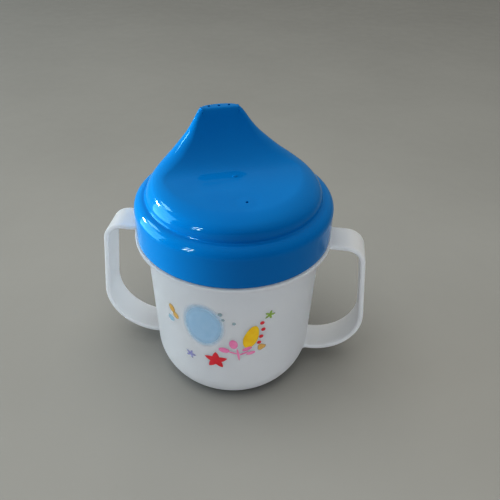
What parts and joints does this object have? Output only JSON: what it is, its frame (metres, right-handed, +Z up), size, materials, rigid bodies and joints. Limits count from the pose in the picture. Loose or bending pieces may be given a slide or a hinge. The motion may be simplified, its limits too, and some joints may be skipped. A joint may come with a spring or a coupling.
{
  "type": "sippy cup",
  "caption": "Two-handled toddler sippy cup with a frosted moulded cup, a blue screw lid with a hard drinking spout, a gasket and a spill valve.",
  "frame": {"origin": "centre of the base, on the surface that the cup stands on", "axes": "+Z up, +X through the right-hand handle, +Y towards the back; the lid's spout points 22.5 degrees anticlockwise of +Y"},
  "size_m": [0.1176, 0.0814, 0.1135],
  "materials": {
    "cup_plastic": "frosted translucent polypropylene",
    "lid_plastic": "glossy moulded polypropylene",
    "silicone": "soft milky silicone"
  },
  "bodies": {
    "cup": {"cup_body": "cup_plastic", "handle_left": "cup_plastic", "handle_right": "cup_plastic"},
    "gasket": {"lid_gasket": "silicone"},
    "lid": {"screw_lid": "lid_plastic"},
    "valve": {"spill_valve": "silicone"}
  },
  "joints": [
    {"name": "lid_raise", "type": "slide", "parent": "cup", "child": "gasket", "axis": [0, 0, 1], "range_m": [0, 0.016]},
    {"name": "lid_turn", "type": "hinge", "parent": "gasket", "child": "lid", "pos_m": [0, 0, 0.08], "axis": [0, 0, 1], "range_deg": [0, 1152]},
    {"name": "valve_pull", "type": "slide", "parent": "lid", "child": "valve", "axis": [0, 0, -1], "range_m": [0, 0.012]}
  ],
  "couplings": [
    {"joint": "lid_raise", "follows": "lid_turn", "m_per_rad": 0.00079577}
  ]
}
